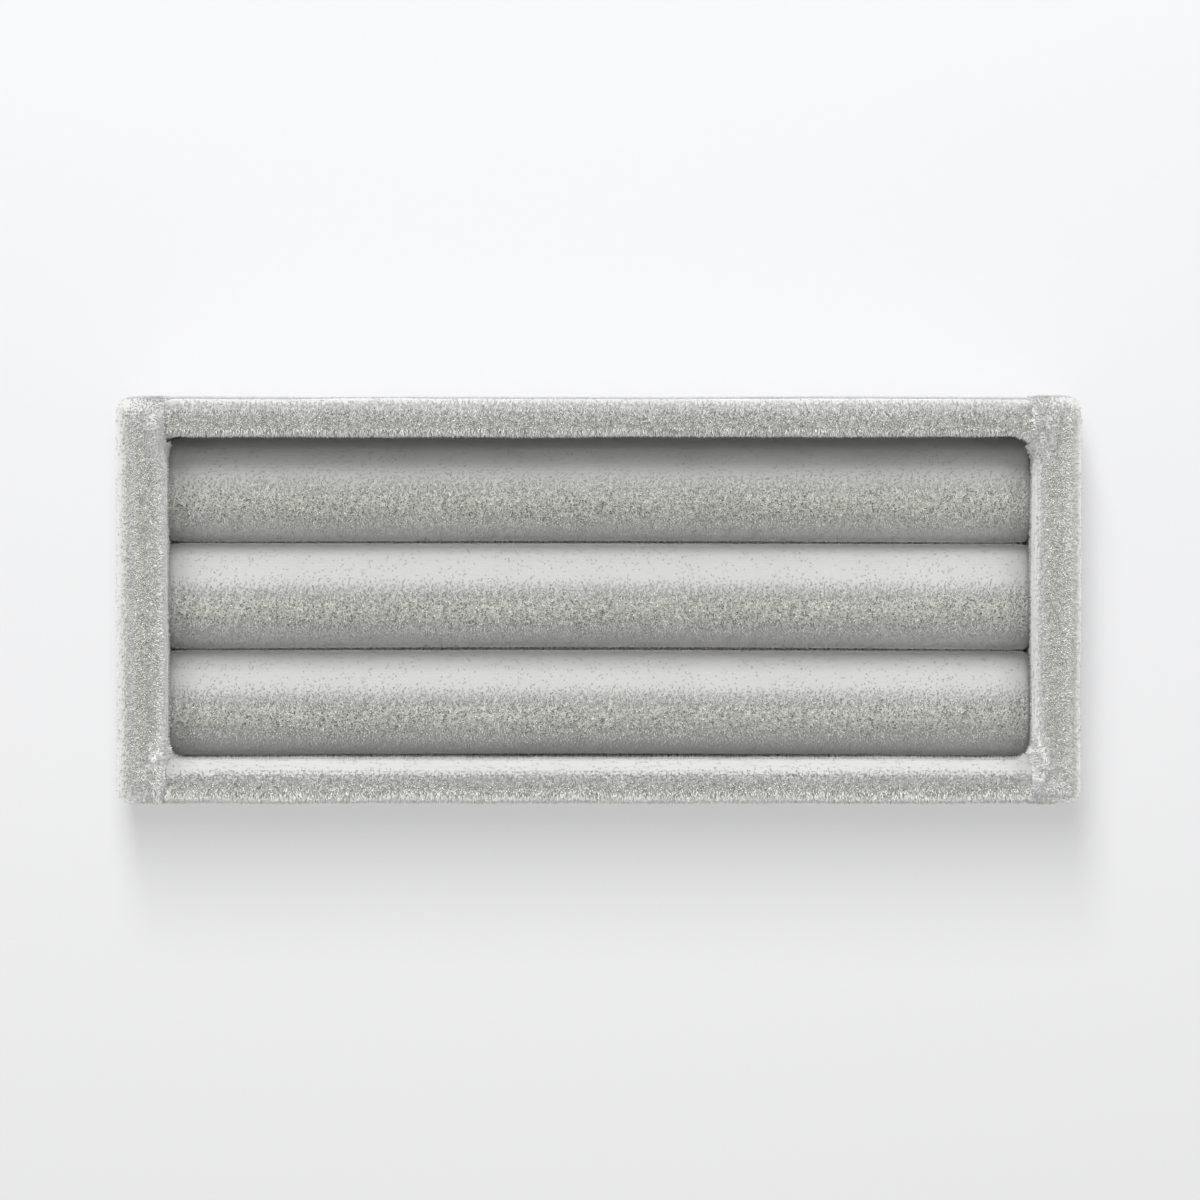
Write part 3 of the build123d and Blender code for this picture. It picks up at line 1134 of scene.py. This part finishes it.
def roll_skin(low, high):
    """Points of a roll's skin, as rings along the roll."""
    half_width = (high.y - low.y) / 2
    height = high.z - CARD_TOP
    centre = (low.y + high.y) / 2
    reach = high.x - ROLL_END_GAP
    ends = [(reach - ROLL_END_ROUND * (1 - math.cos(turn)), ROLL_END_ROUND * (1 - math.sin(turn)))
            for turn in np.linspace(0, math.pi / 2, ROLL_END_RINGS)]
    places = [(-x, inset) for x, inset in ends]
    places += [(x, 0.0) for x in np.linspace(places[-1][0], ends[-1][0], ROLL_RINGS)[1:-1]]
    places += reversed(ends)
    return np.array([
        [(x, centre + y, CARD_TOP + max(z, 0.0))
         for y, z in roll_ring(half_width, height, ROLL_PILE_DEPTH + inset)]
        for x, inset in places])


def bend_roll(skin, high):
    """The rolls' own unevenness: a long bow along the creases and slight swells of the foam."""
    x = skin[..., 0] / HALF_LENGTH
    height = (skin[..., 2] - CARD_TOP) / (high.z - CARD_TOP)
    free = np.clip((WELL_HALF_DEPTH - np.abs(skin[..., 1])) / (4 * MM), 0.0, 1.0)
    skin = skin.copy()
    spread = 0.22 * skin[..., 1] / (11 * MM)
    bow = 0.53 + 0.25 * np.cos(x * math.pi) - 0.2 * x + spread
    skin[..., 1] += free * smooth(0.0, 0.7, height) * bow * MM
    skin[..., 2] += height * 0.16 * MM * wander(skin, 24 * MM, 5)
    return skin


def skin_mesh(name, skin):
    """A closed mesh over the rings of a roll, with both ends filled by a fan."""
    mesh = grid_mesh(name, skin, False, closed=True)
    solid = bmesh.new()
    solid.from_mesh(mesh)
    points = list(solid.verts)
    rings, around = skin.shape[:2]
    for ring in (0, rings - 1):
        loop = points[ring * around:(ring + 1) * around]
        centre = solid.verts.new(sum((point.co for point in loop), Vector()) / around)
        for first, second in zip(loop, loop[1:] + loop[:1]):
            solid.faces.new((first, second, centre))
    bmesh.ops.recalc_face_normals(solid, faces=solid.faces)
    solid.to_mesh(mesh)
    solid.free()
    return mesh


def vertex_vectors(mesh, field):
    """The place ("co") or the normal ("normal") of each vertex."""
    values = np.zeros(len(mesh.vertices) * 3, np.float32)
    mesh.vertices.foreach_get(field, values)
    return values.reshape(-1, 3).astype(float)


def move_vertices(mesh, points):
    mesh.vertices.foreach_set("co", points.astype(np.float32).ravel())


def swell(thing, settings):
    """Lets a stuffed skin swell as cloth, and caps how far each point moves."""
    rest = vertex_vectors(thing.data, "co")
    move_vertices(thing.data, rest * SWELL_SCALE)
    pinned = thing.vertex_groups.new(name="pinned")
    low = rest[:, 2].min()
    end = np.abs(rest[:, 0]).max()
    held = [i for i, p in enumerate(rest)
            if p[2] < low + PINNED_HEIGHT or abs(p[0]) > end - PINNED_END]
    pinned.add(held, 1.0, "REPLACE")
    cloth = thing.modifiers.new("Swell", "CLOTH")
    cloth.settings.use_pressure = True
    cloth.settings.uniform_pressure_force = settings.pressure
    cloth.settings.vertex_group_mass = "pinned"
    cloth.settings.effector_weights.gravity = 0.0
    cloth.settings.tension_stiffness = SWELL_STIFFNESS
    cloth.settings.compression_stiffness = SWELL_STIFFNESS
    cloth.settings.quality = 4
    cloth.point_cache.frame_start = 1
    cloth.point_cache.frame_end = settings.last_frame
    scene = bpy.context.scene
    for number in range(1, settings.last_frame + 1):
        scene.frame_set(number)
    evaluated = thing.evaluated_get(bpy.context.evaluated_depsgraph_get())
    move = vertex_vectors(evaluated.data, "co") / SWELL_SCALE - rest
    thing.modifiers.remove(cloth)
    scene.frame_set(1)
    size = np.linalg.norm(move, axis=1, keepdims=True) + 1e-12
    print(thing.name, "moved up to", round(float(size.max()) / MM, 3), "mm")
    move_vertices(thing.data, rest + move * np.minimum(1.0, settings.swell_limit / size))
    thing.data.update()


def subdivide_once(thing):
    """One level of subdivision, applied."""
    modifier = thing.modifiers.new("Smooth", "SUBSURF")
    modifier.levels = 1
    modifier.render_levels = 1
    thing.data = plain_mesh(thing, modifier)


def roll_bloom(name, x, y, from_side, facing):
    """How much paler or darker the pile is painted at each point of a roll: painted light on the
    flank that faces the back, and painted shade on the one that faces the front, in the creases,
    under the back rim and at the ends.
    """
    # Painted light on the flank that faces the back, painted shade on the one that faces the front
    back_flank = smooth(*BACK_FACING, facing)
    shaded = smooth(*FRONT_FACING, -facing)
    # Painted shade in the creases between the rolls
    width = np.where(facing > 0, CREASE_SHADE_WIDTHS[name], FRONT_CREASE_SHADE_WIDTH)
    share = (from_side - CREASE_SHADE_CORE) / (width - CREASE_SHADE_CORE)
    crease_shade = 1 - np.clip(share, 0.0, 1.0) ** 1.5
    # Painted shadow of the back rail, and painted shade at the roll's ends
    rim_shadow = 1 - smooth(*RIM_SHADOW, WELL_HALF_DEPTH - y)
    end_shade = 1 - smooth(*END_SHADE, WELL_HALF_LENGTH - np.abs(x))
    bloom = (back_flank * (0.2 - 2.2 * crease_shade) - FRONT_SHADES[name] * shaded * (1.0 + 1.4 * crease_shade)
             - 3.6 * rim_shadow - 1.2 * end_shade)
    return np.maximum(bloom, DARKEST_PAINTED_SHADING)


def roll_bed(name, mesh, low, high):
    """A roll's skin without the part glued to the card, with what the pile reads."""
    bed = mesh.copy()
    bed.name = "roll_" + name + "_bed"
    solid = bmesh.new()
    solid.from_mesh(bed)
    glued = [face for face in solid.faces
             if face.normal.z < -0.8 and face.calc_center_median().z < CARD_TOP + 0.3 * MM]
    bmesh.ops.delete(solid, geom=glued, context="FACES")
    solid.to_mesh(bed)
    solid.free()
    points = vertex_vectors(bed, "co")
    normals = vertex_vectors(bed, "normal")
    x, y, z = points.T
    endward, sideward = np.abs(normals[:, 0]), np.abs(normals[:, 1])
    centre = (low.y + high.y) / 2
    height = (z - CARD_TOP) / (high.z - CARD_TOP)
    turn = np.arctan2(y - centre, z - (CARD_TOP + (high.z - CARD_TOP) * MAP_CENTRE))
    speckle = CROWN_BAND_OPEN * np.exp(-(((y - centre - CROWN_BAND_PLACE) / CROWN_BAND_WIDTH) ** 2))
    speckle *= 1 - smooth(*END_FACING, endward)
    calm = 1 - np.minimum(speckle, 1.0)
    crown_density = CROWN_DENSITY * standing_share(smooth(*CROWN_STANDING, speckle))
    density = np.where(height > CROWN_SHARE, crown_density, FLANK_DENSITY)
    density = np.where(endward > 0.6, ROLL_END_DENSITY, density)
    layer = ROLL_LAYER + FLANK_LAYER * smooth(*SIDE_FACING, sideward)
    store_bed(
        bed, (x - x.min()) / np.ptp(x), (turn - turn.min()) / np.ptp(turn),
        normals + (0.0, ROLL_COMB, 0.0),
        pile=density / MM ** 2,
        tall=1 - 0.5 * calm,
        ruffle=0.3 * speckle,
        speckle=speckle,
        bloom=roll_bloom(name, x, y, (high.y - low.y) / 2 - np.abs(y - centre), normals[:, 1]))
    lift = layer * calm * smooth(*ROLL_FOOT, height)
    move_vertices(bed, points + normals * lift[:, None])
    return bed


def make_roll(name, tree, ground, foam, settings, roll_settings):
    """One ring roll: foam, its cover and the cover's pile."""
    low, high = ROLL_BOXES[name]
    height = high.z - CARD_TOP
    skin = bend_roll(roll_skin(low, high), high)
    body = link_object("foam_" + name, skin_mesh("foam_" + name, skin))
    swell(body, roll_settings)
    subdivide_once(body)
    bed = link_object("roll_" + name + "_bed", roll_bed(name, body.data, low, high))
    pile = grow_pile("roll_" + name + "_pile", bed, tree, settings.roll_length, settings)
    cover = thick_sheet("roll_" + name + "_cloth", bed, ROLL_CLOTH, ground)
    inwards = -vertex_vectors(body.data, "normal") * (ROLL_CLOTH + FOAM_GAP)
    points = vertex_vectors(body.data, "co") + inwards
    points[:, 2] = np.maximum(points[:, 2], CARD_TOP)
    move_vertices(body.data, points)
    set_material(body.data, foam)
    dress([pile, cover], "ring_insert", "roll_cover_" + name)
    dress([body], "ring_insert", "foam_core_" + name)
    half = roll_half_outline((high.y - low.y) / 2, height, ROLL_PILE_DEPTH)


def sheet_grid(half_x, half_y, corner):
    """Points of a flat sheet with rounded corners."""
    grid = []
    for y in np.sin(np.linspace(-math.pi / 2, math.pi / 2, SHEET_ROWS)) * half_y:
        past = max(0.0, abs(y) - (half_y - corner))
        reach = half_x - corner + math.sqrt(max(corner ** 2 - past ** 2, 0.0))
        grid.append([(x * reach, y, 0.0) for x in np.linspace(-1, 1, SHEET_COLUMNS)])
    return np.array(grid)


def make_flat_sheet(name, node, corner, material):
    """A thin sheet glued flat in the place of a node, with slight unevenness in its face."""
    low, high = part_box(node)
    grid = sheet_grid(high.x, high.y, corner)
    grid[..., 2] = high.z + 0.05 * MM * (wander(grid, 12 * MM, 9) - 1)
    mesh = grid_mesh(name, grid, False)
    map_from_shares(mesh, *grid_shares(grid))
    bed = link_object(name + "_bed", mesh)
    sheet = thick_sheet(name, bed, high.z - low.z - 0.1 * MM, material)
    dress([sheet], "tray", node)


def make_floor(settings):
    """A wide pale floor, painted darker slowly from back to front as a painted fall-off of the
    light.

    To the camera it partly glows, which keeps it pale beside the tray and softens the shadow.
    """
    mesh = bpy.data.meshes.new("floor")
    corners = [(FLOOR_REACH * x, FLOOR_REACH * y, 0)
               for x, y in ((-1, -1), (1, -1), (1, 1), (-1, 1))]
    mesh.from_pydata(corners, [], [(0, 1, 2, 3)])
    floor = link_object("floor", mesh)

    material = bpy.data.materials.new("Pale Floor")
    nodes = new_tree(material)
    along = nodes.add("ShaderNodeSeparateXYZ", None, {0: object_place(nodes)}, output="Y")
    # Painted fall-off of the light, from the back's colour to the darker front's
    share = (0.5 + along * (1 / FLOOR_FADE)).clamped()
    colour = nodes.mix(share, settings.floor_front_shade, settings.floor_back)
    matt = nodes.add("ShaderNodeBsdfDiffuse", None, {"Color": colour})
    glow = nodes.add("ShaderNodeEmission", None, {"Color": colour, "Strength": 1.0})
    seen = nodes.add("ShaderNodeLightPath", output="Is Camera Ray")
    floor_shader = nodes.add(
        "ShaderNodeMixShader", None, {0: seen * settings.floor_glow, 1: matt, 2: glow})
    nodes.add("ShaderNodeOutputMaterial", None, {"Surface": floor_shader})
    set_material(mesh, material)
    return floor


def make_lamp(name, direction, distance, size, power, floor, on_floor=False):
    """A softbox that faces the tray, and lights either the floor or all but the floor."""
    light = bpy.data.lights.new(name, "AREA")
    light.shape = "RECTANGLE"
    light.size, light.size_y = size
    light.energy = power
    lamp = link_object(name, light)
    aim = Vector((0, 0, RIM_TOP))
    lamp.location = aim + Vector(direction).normalized() * distance
    lamp.rotation_euler = (aim - lamp.location).to_track_quat("-Z", "Y").to_euler()
    receivers = bpy.data.collections.new(name + "_receivers")
    receivers.objects.link(floor)
    for item in receivers.collection_objects:
        item.light_linking.link_state = "INCLUDE" if on_floor else "EXCLUDE"
    lamp.light_linking.receiver_collection = receivers


def make_sky(settings):
    """Even pale light from all round, a plain near-white where the camera or a mirror sees it."""
    world = bpy.data.worlds.new("Pale Sky")
    nodes = new_tree(world)
    seen = nodes.add("ShaderNodeLightPath", output="Is Camera Ray")
    mirrored = nodes.other(seen, "Is Glossy Ray")
    through = nodes.other(seen, "Is Transmission Ray")
    shown = (seen + mirrored + through).clamped()
    strength = settings.sky_strength + shown * (SKY_SHOWN - settings.sky_strength)
    sky = nodes.add("ShaderNodeBackground", None, {"Color": (1, 1, 1, 1), "Strength": strength})
    nodes.add("ShaderNodeOutputWorld", None, {"Surface": sky})
    bpy.context.scene.world = world


def make_camera(settings):
    """Camera high above the tray, a little towards its back."""
    lens = bpy.data.cameras.new("camera")
    lens.sensor_width = 36.0
    lens.lens = lens.sensor_width * settings.camera_distance / settings.view_width
    lens.clip_end = 20.0
    camera = link_object("camera", lens)
    tilt = settings.camera_tilt
    towards = Vector((0, math.sin(tilt), math.cos(tilt)))
    camera.location = CAMERA_AIM + settings.camera_distance * towards
    camera.rotation_euler = (-tilt, 0, 0)
    bpy.context.scene.camera = camera


class TRAY_OT_stage(bpy.types.Operator):
    """Set up the floor, the lamps and the camera"""

    bl_idname = "ring_tray.stage"
    bl_label = "Stage"

    def execute(self, context):
        settings = context.scene.ring_tray_stage
        context.scene.view_settings.view_transform = "Standard"
        floor = make_floor(settings)
        for name, direction, power in (
                ("top_softbox", (0.0, 0.27, 1.0), settings.top_power),
                ("back_softbox", (0.0, 1.43, 1.0), settings.back_power),
                ("left_softbox", (-1.0, 0.0, 1.0), settings.left_power),
                ("right_softbox", (1.0, 0.0, 1.0), settings.left_power * RIGHT_SHARE),
                ("front_softbox", (0.0, -1.5, 1.0), settings.front_power)):
            make_lamp(name, direction, SOFTBOX_DISTANCE, SOFTBOX_SIZE, power, floor)
        make_lamp("floor_softbox", (-0.08, 0.6, 1.0), 1.5, (0.35, 1.2), settings.floor_power,
                  floor, True)
        make_sky(settings)
        make_camera(settings)
        return {"FINISHED"}


class TRAY_OT_boards(bpy.types.Operator):
    """Give the boards and the card their own materials"""

    bl_idname = "ring_tray.boards"
    bl_label = "Boards and Card"

    def execute(self, context):
        board = fibreboard_material("Fibreboard")
        card = grey_card_material("Grey Card")
        for name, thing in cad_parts.items():
            if name == "base_board" or name.startswith("wall_board_"):
                set_material(thing.data, board)
            elif name == "insert_card":
                set_material(thing.data, card)
        return {"FINISHED"}


class TRAY_OT_sheets(bpy.types.Operator):
    """Lay the well's lining and the flocked sheet under the tray"""

    bl_idname = "ring_tray.sheets"
    bl_label = "Lining and Underside"

    def execute(self, context):
        make_flat_sheet("well_lining", "floor_lining", WELL_CORNER,
                        flock_material("Lining Flock", (0.55, 0.555, 0.53), (0.40, 0.405, 0.38)))
        make_flat_sheet("underside_flock", "underside_sheet", UNDERSIDE_CORNER,
                        flock_material("Underside Flock", (0.48, 0.485, 0.46), (0.34, 0.345, 0.32)))
        return {"FINISHED"}


class TRAY_OT_wraps(bpy.types.Operator):
    """Wrap the four walls in velvet"""

    bl_idname = "ring_tray.wraps"
    bl_label = "Velvet Wraps"

    def execute(self, context):
        settings = context.scene.ring_tray_velvet
        tree = pile_tree(velvet_pile_material("Velvet Pile, Wraps", settings))
        ground = velvet_ground_material("Velvet Ground", settings.brushed_colour)
        for name, kind, side in (("rim_back", "long", "back"), ("rim_front", "long", "front"),
                                 ("end_left", "end", "left"), ("end_right", "end", "right")):
            make_wrap(name, kind, side, tree, ground, settings)
        return {"FINISHED"}


class TRAY_OT_rolls(bpy.types.Operator):
    """Stuff and cover the three ring rolls"""

    bl_idname = "ring_tray.rolls"
    bl_label = "Ring Rolls"

    def execute(self, context):
        settings = context.scene.ring_tray_velvet
        tree = pile_tree(velvet_pile_material("Velvet Pile, Rolls", settings))
        ground = velvet_ground_material("Roll Ground", settings.brushed_colour)
        foam = foam_material("Roll Foam")
        for name in ROLL_NAMES:
            make_roll(name, tree, ground, foam, settings, context.scene.ring_tray_rolls)
        return {"FINISHED"}


class TRAY_PT_panel(bpy.types.Panel):
    """The tray's pieces in the sidebar"""

    bl_label = "Ring Tray"
    bl_idname = "TRAY_PT_panel"
    bl_space_type = "VIEW_3D"
    bl_region_type = "UI"
    bl_category = "Ring Tray"

    def draw(self, context):
        for name, group in GROUPS.items():
            box = self.layout.box()
            for setting in group.__annotations__:
                box.prop(getattr(context.scene, name), setting)
        for operator in OPERATORS:
            self.layout.operator(operator.bl_idname)


GROUPS = {
    "ring_tray_velvet": VelvetSettings,
    "ring_tray_rolls": RollSettings,
    "ring_tray_stage": StageSettings,
}
OPERATORS = (TRAY_OT_stage, TRAY_OT_boards, TRAY_OT_sheets, TRAY_OT_wraps, TRAY_OT_rolls)
CLASSES = (*GROUPS.values(), *OPERATORS, TRAY_PT_panel)


def register():
    for item in CLASSES:
        bpy.utils.register_class(item)
    for name, group in GROUPS.items():
        setattr(bpy.types.Scene, name, PointerProperty(type=group))


def unregister():
    for name in GROUPS:
        delattr(bpy.types.Scene, name)
    for item in reversed(CLASSES):
        bpy.utils.unregister_class(item)


def main():
    register()
    bpy.ops.ring_tray.stage()
    bpy.ops.ring_tray.boards()
    bpy.ops.ring_tray.sheets()
    bpy.ops.ring_tray.wraps()
    bpy.ops.ring_tray.rolls()


if __name__ == "__main__":
    main()
